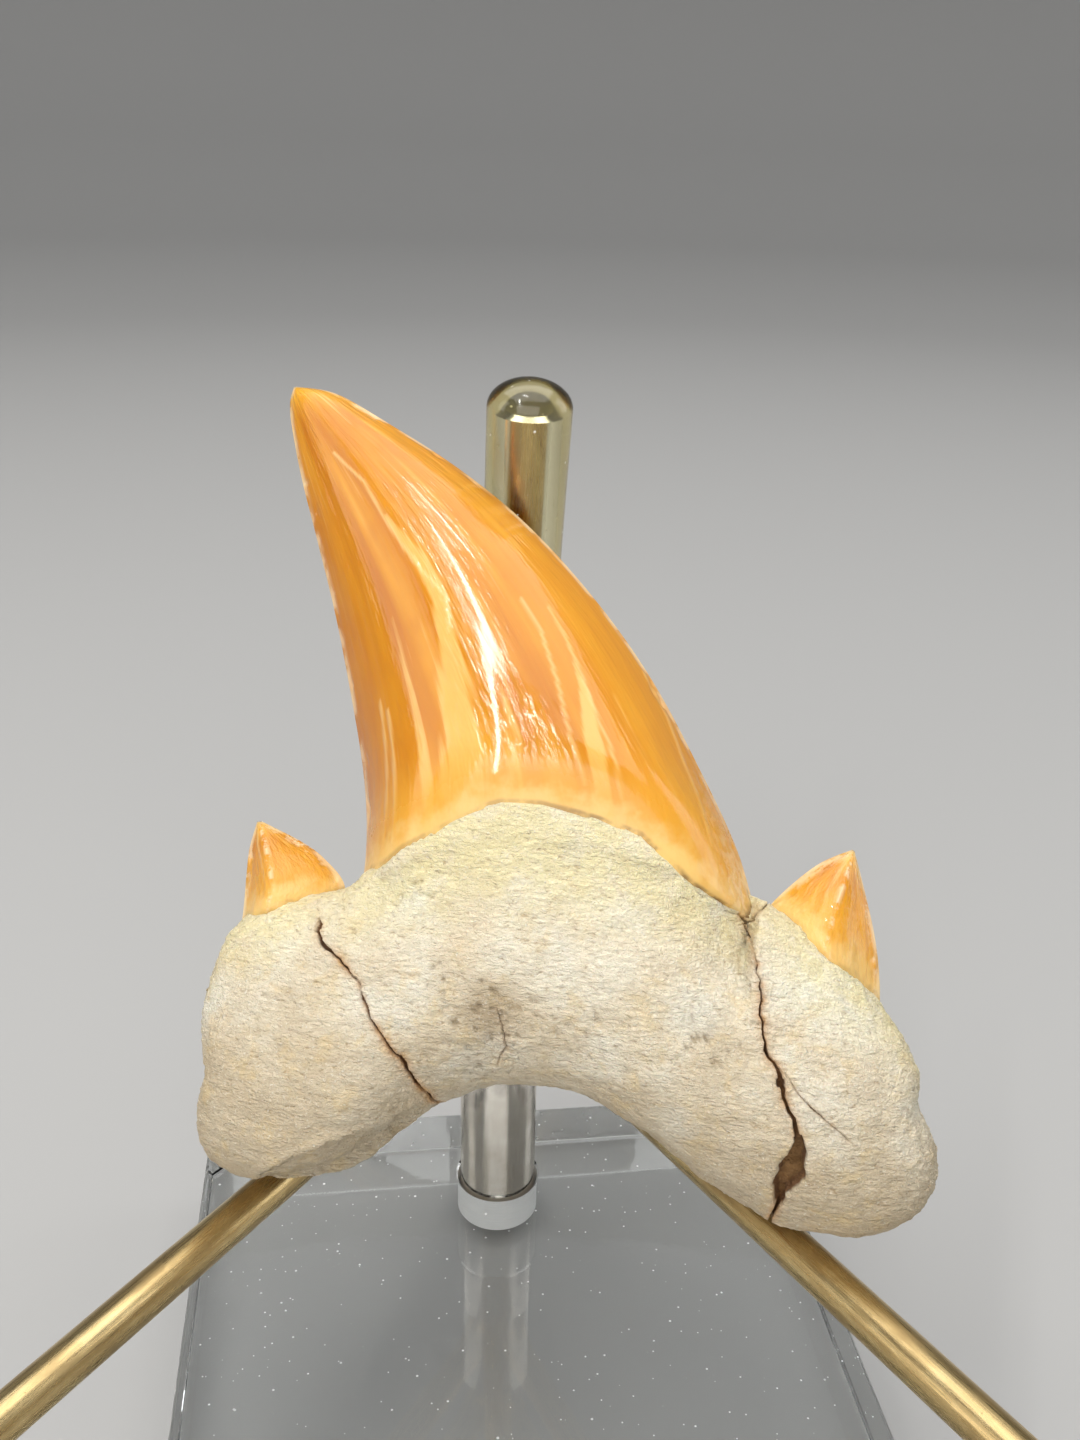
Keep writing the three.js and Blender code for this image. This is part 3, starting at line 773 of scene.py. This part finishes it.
def root_grid(cracks):
    """Shares u, v and faces of the root's skin: even steps over the front, finer beside the cracks."""
    around, along = ROOT_GRID
    dense = ROOT_SAMPLES
    v = np.linspace(0, 1, along + 1)
    us, vs = np.meshgrid(np.linspace(0, 1, dense + 1), v)
    skin = root_skin(us, vs)
    steps = np.linalg.norm(np.diff(skin, axis=1), axis=2)
    steps[:, dense // 2:] *= 0.5
    steps += steps.sum(axis=1, keepdims=True) / dense * 0.15 + 1e-6
    lengths = np.concatenate([np.zeros((along + 1, 1)), np.cumsum(steps, axis=1)], axis=1)
    lengths /= lengths[:, -1:]
    even = np.linspace(0, 1, around + 1)
    u = np.array([np.interp(even, row, us[0]) for row in lengths])
    bm = bmesh.new()
    verts = [[bm.verts.new((u[j, i], v[j], 0)) for i in range(around + 1)] for j in range(along + 1)]
    corners = root_skin(u, np.repeat(v[:, None], around + 1, axis=1))[:-1, :-1]
    near = np.full(corners.shape[:2], 1e9)
    flat = corners.reshape(-1, 3)[:, [0, 2]]
    for line in cracks:
        gap, _ = along_line(flat, line)
        near = np.minimum(near, gap.reshape(near.shape))
    chosen = set()
    for j in range(along):
        for i in range(around):
            face = bm.faces.new([verts[j][i], verts[j][i + 1], verts[j + 1][i + 1], verts[j + 1][i]])
            if near[j, i] < CRACK_MARGIN:
                chosen.update(face.edges)
    bmesh.ops.subdivide_edges(bm, edges=list(chosen), cuts=CRACK_CUTS, use_grid_fill=True)
    bm.verts.index_update()
    uv = np.array([vert.co[:2] for vert in bm.verts])
    faces = [[vert.index for vert in face.verts] for face in bm.faces]
    bm.free()
    return uv[:, 0], uv[:, 1], faces


def tree_of(part):
    faces = [tuple(polygon.vertices) for polygon in part["mesh"].polygons]
    return BVHTree.FromPolygons(part["points"].tolist(), faces)


def distance_to(tree, points):
    return np.array([tree.find_nearest(Vector(p))[3] for p in points.tolist()])


def first_hit(tree, x, z):
    """Where a line from far in front of the tooth meets a tree, or None."""
    return tree.ray_cast(Vector((x, FAR_IN_FRONT, z)), Vector((0, 1, 0)))[0]


def make_root(crown):
    """The root, in millimetres of the tooth, with lumps, pits, cracks, and a neck flush with the crown."""
    rng = np.random.default_rng(11)
    through = [jagged(line, rng) for line in (LEFT_CRACK, RIGHT_CRACK)]
    shallow = [jagged(line, rng, 0.08) for line in (MIDDLE_CRACK, FINE_CRACK, SHORT_CRACK)]
    u, v, faces = root_grid(through + shallow)
    mesh, first = merged(root_skin(u, v), faces)
    u, v = u[first], v[first]
    points = mesh_points(mesh)
    # Neck: the front leans in to the crown's skin below the line and dives under it above
    tree = tree_of(crown)
    front = np.sin(2 * np.pi * u) > 0
    neck_x, neck_z = np.array(NECK).T
    line_z = np.interp(points[:, 0], neck_x, neck_z)
    samples = np.linspace(*NECK_RANGE, 120)
    depth = []
    for x in samples:
        hit = first_hit(tree, x, float(np.interp(x, neck_x, neck_z)) + 0.3)
        depth.append(hit.y if hit else 0.0)
    skin_y = np.interp(points[:, 0], samples, depth)
    inside = smoothstep(-15.2, -12.4, points[:, 0]) * smoothstep(16.2, 15.0, points[:, 0]) * front
    above = points[:, 2] - line_z
    target = skin_y - 0.06 - 0.06 * np.clip(-above, 0, None)
    lean = smoothstep(-NECK_LEAN, 0.0, above) * inside
    points[:, 1] = points[:, 1] * (1 - lean) + target * lean
    for k in np.flatnonzero((inside > 0) & (above < 0) & (above > -8)):
        hit = first_hit(tree, points[k, 0], points[k, 2])
        if hit:
            points[k, 1] = min(points[k, 1], hit.y - 0.04 - 0.26 * min(-above[k], 1))
    dive = inside * np.clip(above, 0, None)
    sunk_in = np.minimum(points[:, 1] + dive * 2.2, np.maximum(points[:, 1], -0.5))
    points[:, 1] = np.where(front, sunk_in, points[:, 1])
    place_points(mesh, points)
    normals = mesh_normals(mesh)
    flat = points[:, [0, 2]]
    # Lumps and grain
    lift = 0.34 * noise_at(points, 6.5, shift=3.1) + 0.18 * noise_at(points, 2.4, (0.8, 1, 1.5), 8.4)
    grain = noise_at(points, 0.95, (0.7, 1, 1.9), 1.7, 3)
    lift += 0.12 * grain
    # Rough hollows with pits
    rough = np.zeros(len(points))
    for x, z, radius, strength in ROUGH_SPOTS:
        rough = np.maximum(rough, strength * spot(flat[:, 0], flat[:, 1], x, z, radius))
    rough *= front
    holes = noise_at(points, 0.75, (0.8, 1, 1.5), 21.0) + 0.5 * noise_at(points, 0.34, shift=5.5)
    pores = smoothstep(0.05, 0.75, holes) * (0.10 + rough)
    lift -= 0.34 * pores + 0.3 * rough
    # Ledge over the underside of the left lobe
    ledge_x, ledge_z = np.array(LEDGE).T
    edge_z = np.interp(flat[:, 0], ledge_x, ledge_z) + 0.25 * noise_at(points * (1, 0, 0), 0.9, shift=2.2)
    below = edge_z - flat[:, 1]
    reach = smoothstep(-20.8, -19.0, flat[:, 0]) * smoothstep(-7.0, -9.0, flat[:, 0]) * front
    lift -= (0.55 + 0.25 * np.clip(below, 0, 3)) * smoothstep(0.0, 0.3, below) * reach
    lift += 0.16 * np.exp(-((below + 0.15) ** 2) / 0.07) * reach
    slanted = np.stack([flat[:, 0] - 0.8 * flat[:, 1], flat[:, 1] * 0.2, flat[:, 1] * 0], axis=1)
    furrows = noise_at(slanted, 0.8)
    lift += 0.14 * furrows * smoothstep(0.2, 0.8, below) * smoothstep(4.5, 3.0, below) * reach
    # Cracks
    stain = np.zeros(len(points))
    sunk = np.zeros(len(points))
    for line in through + shallow:
        gap, values = along_line(flat, line)
        width, depth = values[:, 0], values[:, 1]
        width = np.where(width < FINE_WIDTH, FINE_SHARE * width, width)
        if line in shallow:
            depth = depth * front
        groove = smoothstep(1.0, 0.4, gap / width) * depth
        sunk = np.maximum(sunk, groove)
        stain = np.maximum(stain, np.exp(-gap / 0.45) * np.clip(depth / 0.7, 0, 1))
    # A dark seam just under the neck line
    seam = np.exp(-((above + 0.2) ** 2) / 0.02) * inside
    rightward = 0.35 + 0.65 * smoothstep(6, 12, flat[:, 0])
    seam *= smoothstep(-0.5, 0.1, noise_at(points, 1.8, shift=4.4)) * rightward
    calm = 1 - np.exp(-np.maximum(-above, 0) / 0.5) * inside
    lift = lift * np.where(above > -2, calm, 1) - sunk - 0.14 * seam
    points = points + normals * lift[:, None]
    place_points(mesh, points)
    return {
        "mesh": mesh,
        "points": points,
        "stain": stain,
        "sunk": sunk + 0.32 * seam,
        # Pits, and painted shade over the rough hollows
        "pit_and_shade": np.maximum(pores * (0.4 + rough), 0.75 * rough**2),
    }


crown = make_blade(CROWN_ROWS, CROWN_GRID, seed=0.0)
cusplets = [
    make_blade(LEFT_CUSPLET_ROWS, CUSPLET_GRID, seed=30.0, shift=-0.10),
    make_blade(RIGHT_CUSPLET_ROWS, CUSPLET_GRID, seed=60.0, shift=0.03),
]
root = make_root(crown)
root_tree = tree_of(root)
blade_trees = [tree_of(part) for part in [crown, *cusplets]]


def finish_blade(name, part, lines, streaks, wear, long):
    """Adds a blade to the scene with what its material reads: places, edges, lines, streaks with a painted
    highlight among them, and wear.
    """
    mesh = part["mesh"]
    mesh.name = name
    points = part["points"]
    set_attribute(mesh, "place", points)
    set_attribute(mesh, "blade", np.stack([part["share"], part["v"], part["front"]], axis=1))
    set_attribute(mesh, "edge", part["edge"])
    set_attribute(mesh, "fade", distance_to(root_tree, points))
    set_attribute(mesh, "line", feature(part, lines, LINE_HALF_WIDTH))
    set_attribute(mesh, "streak_and_highlight", feature(part, streaks))
    set_attribute(mesh, "wear", wear)
    set_attribute(mesh, "long", np.full(len(points), float(long)))
    place_points(mesh, to_world(points, TOOTH))
    new_piece(name, mesh, [ENAMEL], "tooth")


def ridge_line(part):
    """Wear along the middle ridge and both edges of a small blade."""
    ridge = np.abs(part["share"] - 0.5) * part["width"]
    rim = smoothstep(1.1, 0.2, part["edge"])
    return np.maximum(smoothstep(0.3, 0.05, ridge), 0.9 * rim) * smoothstep(0.12, 0.3, part["v"])


right_wear = smoothstep(0.90, 0.97, crown["share"]) * smoothstep(0.42, 0.1, crown["v"])
left_wear = smoothstep(0.07, 0.02, crown["share"]) * smoothstep(0.32, 0.15, crown["v"])
crown_wear = 0.8 * np.maximum(right_wear, left_wear) * crown["front"]
finish_blade("crown", crown, ENAMEL_LINES, CREAM_STREAKS_AND_HIGHLIGHT, crown_wear, True)
for name, cusplet in zip(("left_cusplet", "right_cusplet"), cusplets):
    finish_blade(name, cusplet, CUSPLET_LINES, [], ridge_line(cusplet), False)
near_blade = np.min([distance_to(tree, root["points"]) for tree in blade_trees], axis=0)
for attribute, values in (
    ("place", root["points"]),
    ("crack", root["stain"]),
    ("depth", root["sunk"]),
    ("pit_and_shade", root["pit_and_shade"]),
    ("neck", near_blade),
):
    set_attribute(root["mesh"], attribute, values)
root["mesh"].name = "root"
place_points(root["mesh"], to_world(root["points"], TOOTH))
new_piece("tooth_root", root["mesh"], [BONE], "tooth")


RING_POINTS = 96
ROD_RING_POINTS = 48


def square_ring(half, corner, z):
    """Points round a square with rounded corners, in step with circle_ring."""
    ring = []
    for k in range(RING_POINTS):
        angle = 2 * math.pi * (k + 0.5) / RING_POINTS
        direction = np.array([math.cos(angle), math.sin(angle)])
        point = direction * half / np.abs(direction).max()
        inner = half - corner
        over = np.maximum(np.abs(point) - inner, 0)
        if over.min() > 0:
            point = np.sign(point) * (inner + corner * over / np.linalg.norm(over))
        ring.append([*point, z])
    return np.array(ring)


def circle_ring(radius, z, centre=(0, 0)):
    angles = 2 * np.pi * (np.arange(RING_POINTS) + 0.5) / RING_POINTS
    x = centre[0] + radius * np.cos(angles)
    y = centre[1] + radius * np.sin(angles)
    return np.stack([x, y, np.full(RING_POINTS, float(z))], axis=1)


def make_slab():
    hole = (0, POST_SETBACK)
    floor_z = BASE_THICKNESS - HOLE_DEPTH
    rings = [
        square_ring(BASE_HALF - 0.35, 0.5, 0.0),
        square_ring(BASE_HALF - 0.1, 0.7, 0.1),
        square_ring(BASE_HALF, 0.8, 0.35),
        square_ring(BASE_HALF, 0.8, BASE_THICKNESS - 0.35),
        square_ring(BASE_HALF - 0.1, 0.7, BASE_THICKNESS - 0.1),
        square_ring(BASE_HALF - 0.35, 0.5, BASE_THICKNESS),
        circle_ring(HOLE_RADIUS + 0.2, BASE_THICKNESS, hole),
        circle_ring(HOLE_RADIUS, BASE_THICKNESS - 0.2, hole),
        circle_ring(HOLE_RADIUS, floor_z + 0.1, hole),
        circle_ring(HOLE_RADIUS - 0.1, floor_z, hole),
    ]
    points, faces = loft(rings)
    mesh = mesh_from("slab", points, faces)
    mark_sharp(mesh, 10)
    set_attribute(mesh, "place", mesh_points(mesh) / MM)
    new_piece("slab", mesh, [ACRYLIC, FROSTED], "base")
    for polygon in mesh.polygons:
        middle = polygon.center / MM
        radius = math.hypot(middle.x, middle.y - POST_SETBACK)
        polygon.material_index = int(radius < HOLE_RADIUS + 0.05 and middle.z > 1)


make_slab()


def turned(name, profile, place, material, node):
    """A piece turned about +Z from radius and height pairs, then placed by a matrix."""
    rings = [circle_ring(radius, z) for radius, z in profile]
    points, faces = loft(rings)
    world = to_world(points, place) / MM
    mesh = mesh_from(name, world, faces)
    set_attribute(mesh, "place", points)
    mark_sharp(mesh)
    new_piece(name, mesh, [material], node)


foot = GAP - HOLE_DEPTH
turned("steel_post", [
    (POST_RADIUS - 0.25, foot),
    (POST_RADIUS, foot + 0.25),
    (POST_RADIUS, POST_HEIGHT - 0.25),
    (POST_RADIUS - 0.07, POST_HEIGHT - 0.07),
    (POST_RADIUS - 0.2, POST_HEIGHT),
    (SOCKET_RADIUS + 0.05, POST_HEIGHT),
    (SOCKET_RADIUS, POST_HEIGHT - 0.1),
    (SOCKET_RADIUS, POST_HEIGHT - SOCKET_DEPTH),
], STAND, STEEL, "post")


def socket_place(angle, z):
    """A rod's axis inside the post, by its angle round the post's own axis in degrees."""
    turn = math.radians(angle)
    return Vector((ROD_SPREAD * math.cos(turn), ROD_SPREAD * math.sin(turn), z))


def arm_points(arm):
    """Points of an arm: up out of the socket, a bend, the long reach, and a prong turned up at its end."""
    heading = math.radians(arm["heading"])
    out = Vector((math.cos(heading), math.sin(heading), 0))
    steepest = math.radians(90 - arm["rise"])
    points = [socket_place(arm["socket"], ROD_FOOT)]

    def go(angle, length):
        points.append(points[-1] + (out * math.sin(angle) + Vector((0, 0, math.cos(angle)))) * length)

    def bend(start, end):
        chord = 2 * BEND_RADIUS * math.sin(steepest / BEND_STEPS / 2)
        for k in range(BEND_STEPS):
            go(start + (end - start) * (k + 0.5) / BEND_STEPS, chord)

    go(0, arm["level"] - BEND_RADIUS - ROD_FOOT)
    bend(0, steepest)
    for _ in range(REACH_STEPS):
        go(steepest, ARM_REACH / REACH_STEPS)
    bend(steepest, 0)
    go(0, PRONG_HEIGHT / 2)
    go(0, PRONG_HEIGHT / 2)
    return points


def make_rod(name, points, node):
    """A round rod with softened ends through a list of points."""
    points = [Vector(p) for p in points]
    soften = 0.2
    first = (points[1] - points[0]).normalized()
    final = (points[-1] - points[-2]).normalized()
    stations = [(points[0], ROD_RADIUS - soften), (points[0] + first * soften, ROD_RADIUS)]
    stations += [(p, ROD_RADIUS) for p in points[1:-1]]
    stations += [(points[-1] - final * soften, ROD_RADIUS), (points[-1], ROD_RADIUS - soften)]
    side = Vector((1, 0, 0))
    rings, places = [], []
    travelled = 0.0
    for k, (centre, radius) in enumerate(stations):
        before = stations[max(k - 1, 0)][0]
        after = stations[min(k + 1, len(stations) - 1)][0]
        forward = (after - before).normalized()
        side = (side - forward * side.dot(forward)).normalized()
        other = forward.cross(side)
        travelled += (centre - before).length
        ring, place = [], []
        for i in range(ROD_RING_POINTS):
            angle = 2 * math.pi * i / ROD_RING_POINTS
            a, b = radius * math.cos(angle), radius * math.sin(angle)
            ring.append(centre + side * a + other * b)
            place.append((a, b, travelled))
        rings.append(ring)
        places.append(place)
    world, faces = loft([to_world([tuple(p) for p in ring], STAND) / MM for ring in rings])
    places, _ = loft(places)
    mesh = mesh_from(name, world, faces)
    set_attribute(mesh, "place", places)
    mark_sharp(mesh, 40)
    new_piece(name, mesh, [BRASS], node)


def make_cap(name, rod_end, direction, node):
    """A clear cap over the end of a rod, open at its mouth and domed at its other end."""
    end = GAP + CAP_END
    mouth = end - CAP_LENGTH
    profile = [
        (CAP_BORE_RADIUS - 0.5, GAP),
        (CAP_BORE_RADIUS, GAP - 0.4),
        (CAP_BORE_RADIUS, mouth + 0.15),
        (CAP_BORE_RADIUS + 0.15, mouth),
        (CAP_MOUTH_RADIUS - 0.2, mouth),
        (CAP_MOUTH_RADIUS, mouth + 0.2),
    ]
    for k in range(1, 6):
        share = k / 6
        profile.append((
            CAP_MOUTH_RADIUS + (CAP_RADIUS - CAP_MOUTH_RADIUS) * share,
            mouth + 0.2 + (end - DOME_HEIGHT - mouth - 0.2) * share,
        ))
    for k in range(DOME_STEPS):
        angle = k / DOME_STEPS * math.pi / 2
        profile.append((CAP_RADIUS * math.cos(angle), end - DOME_HEIGHT + DOME_HEIGHT * math.sin(angle)))
    place = STAND @ Matrix.Translation(rod_end) @ direction.to_track_quat("Z", "Y").to_matrix().to_4x4()
    turned(name, profile, place, VINYL, node)


for side, arm in (("left", LEFT_ARM), ("right", RIGHT_ARM)):
    path = arm_points(arm)
    make_rod(f"{side}_brass_arm", path, f"{side}_arm")
    make_cap(f"{side}_vinyl_cap", path[-1], Vector((0, 0, 1)), f"{side}_cap")

knee = socket_place(BACK_SOCKET, POST_HEIGHT)
back_end = Vector(BACK_END)
make_rod("back_brass_rod", [
    socket_place(BACK_SOCKET, ROD_FOOT),
    knee - Vector((0, 0, 1.2)),
    knee + (back_end - knee) * 0.02,
    knee + (back_end - knee) * 0.5,
    back_end,
], "back_rod")
make_cap("back_vinyl_cap", back_end, (back_end - knee).normalized(), "back_cap")

# The floor's cut: radius, height
FLOOR_PROFILE = [
    (300, 0), (800, 0), (1100, 20), (1300, 90), (1450, 220), (1520, 420), (1550, 900), (1560, 1500),
]
FLOOR_GAP = 0.15
FLOOR_COLOUR = srgb(166, 165, 163)

WORLD_COLOUR = (0.92, 0.95, 1.0, 1)
WORLD_STRENGTH = 0.3
# Lights, in metres and watts: name, place, target, width, height, power, colour, direction of the height
MIDDLE = (0, -0.01, 0.06)
CROWN_MIDDLE = (-0.016, -0.008, 0.083)
WHITE = (1, 1, 1)
UPRIGHT = (0, 0, 1)
LIGHTS = [
    ("strip", (-0.25, -0.245, 0.545), CROWN_MIDDLE, 0.013, 0.42, 1.2, (1.0, 0.985, 0.96), (0.07, 0.29, 0.21)),
    ("short_strip", (-0.07, -0.005, 0.68), CROWN_MIDDLE, 0.009, 0.10, 0.3, WHITE, (0.7, -0.7, 0)),
    ("top", (0.0, 0.10, 0.95), MIDDLE, 1.2, 1.0, 8.8, WHITE, (0, 1, 0)),
    ("front", (-0.20, -0.95, 0.50), MIDDLE, 1.2, 0.9, 8.6, WHITE, UPRIGHT),
    ("right", (0.75, 0.10, 0.35), MIDDLE, 0.3, 0.6, 1.2, (0.95, 0.97, 1.0), UPRIGHT),
    ("left", (-0.75, 0.0, 0.40), MIDDLE, 0.3, 0.6, 1.1, (1.0, 0.97, 0.94), UPRIGHT),
]


def make_floor():
    """A round pale floor that curves up far from the object."""
    rings = [circle_ring(radius, z - FLOOR_GAP) for radius, z in FLOOR_PROFILE]
    points, faces = loft(rings, closed_end=False)
    mesh = mesh_from("floor", points, faces)
    floor = bpy.data.objects.new("floor", mesh)
    bpy.context.scene.collection.objects.link(floor)
    mesh.shade_smooth()
    f = Finish("floor")
    mesh.materials.append(f.surface(Base_Color=FLOOR_COLOUR, Roughness=0.65, Specular_IOR_Level=0.2))


def add_light(name, place, target, width, height, power, colour, along):
    """A rectangle of light at place that faces target, with its height along a direction."""
    data = bpy.data.lights.new(name, "AREA")
    data.shape = "RECTANGLE"
    data.size, data.size_y = width, height
    data.energy = power
    data.color = colour
    back = (Vector(place) - Vector(target)).normalized()
    side = Vector(along).cross(back).normalized()
    turned_to = Matrix((side, back.cross(side), back)).transposed().to_4x4()
    light = bpy.data.objects.new(name, data)
    light.matrix_world = Matrix.Translation(place) @ turned_to
    bpy.context.scene.collection.objects.link(light)


make_floor()
for light in LIGHTS:
    add_light(*light)

world = bpy.data.worlds.new("studio")
bpy.context.scene.world = world
world.use_nodes = True
world.node_tree.nodes["Background"].inputs["Color"].default_value = WORLD_COLOUR
world.node_tree.nodes["Background"].inputs["Strength"].default_value = WORLD_STRENGTH
bpy.context.scene.view_settings.view_transform = "Standard"

# Camera, matched to the slab's corners, the post and the rods in the photograph
CAMERA_PLACE = (-12.25, -96.32, 115.58)
CAMERA_PITCH = 23.611
CAMERA_TURN = 7.601
CAMERA_ROLL = 1.383
FOCAL_PIXELS = 1384.8
PICTURE_HEIGHT = 1440
SENSOR = 36.0
NEAREST, FARTHEST = 0.005, 20


def make_camera():
    pitch, turn, roll = (math.radians(a) for a in (CAMERA_PITCH, CAMERA_TURN, CAMERA_ROLL))
    forward = Vector((
        math.sin(turn) * math.cos(pitch), math.cos(turn) * math.cos(pitch), -math.sin(pitch),
    ))
    level = Vector((math.cos(turn), -math.sin(turn), 0))
    up = level.cross(forward)
    right = level * math.cos(roll) + up * math.sin(roll)
    top = up * math.cos(roll) - level * math.sin(roll)
    data = bpy.data.cameras.new("camera")
    data.sensor_width = SENSOR
    data.lens = FOCAL_PIXELS * SENSOR / PICTURE_HEIGHT
    data.clip_start, data.clip_end = NEAREST, FARTHEST
    camera = bpy.data.objects.new("camera", data)
    turned_to = Matrix((right, top, -forward)).transposed().to_4x4()
    camera.matrix_world = Matrix.Translation(Vector(CAMERA_PLACE) * MM) @ turned_to
    bpy.context.scene.collection.objects.link(camera)
    bpy.context.scene.camera = camera


make_camera()
